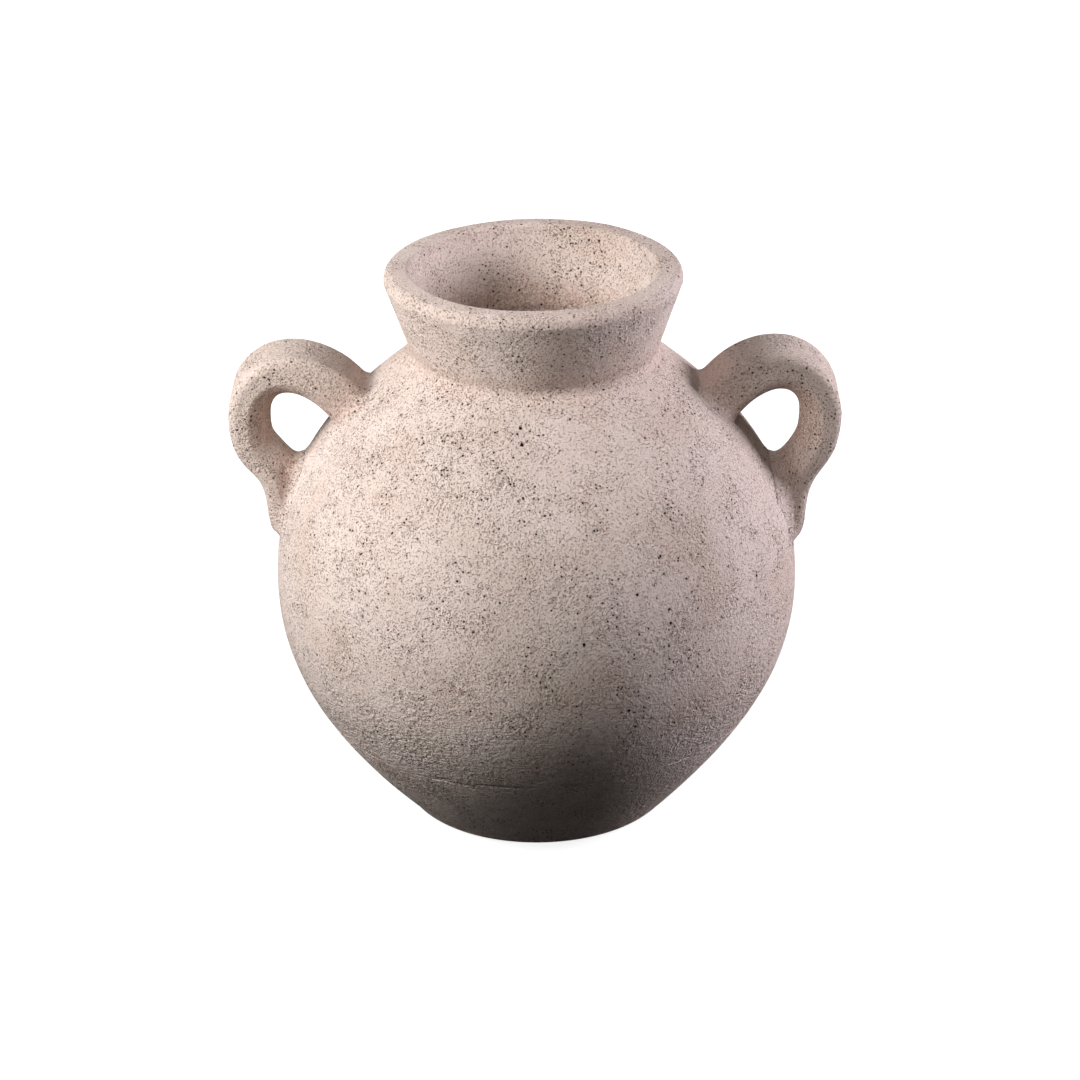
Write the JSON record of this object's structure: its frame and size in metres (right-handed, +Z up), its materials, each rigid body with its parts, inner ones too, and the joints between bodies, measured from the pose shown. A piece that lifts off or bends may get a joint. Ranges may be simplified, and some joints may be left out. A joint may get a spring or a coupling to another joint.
{
  "type": "terracotta vase",
  "caption": "Round-bellied terracotta vase with a flared neck, rolled lip and strap handles on its shoulders, for holding flowers or standing as decor.",
  "frame": {"origin": "centre of the foot, on the surface that the vase stands on", "axes": "+Z up along the axis of turning, +X towards the right handle, +Y away from the front"},
  "size_m": [0.3473, 0.2998, 0.3277],
  "materials": {
    "terracotta": "unglazed, pale sandy wash, open pores"
  },
  "bodies": {
    "root": {"floor_slab": "terracotta", "lower_bowl": "terracotta", "belly_wall": "terracotta", "neck_collar": "terracotta", "left_handle": "terracotta", "right_handle": "terracotta"}
  },
  "joints": []
}
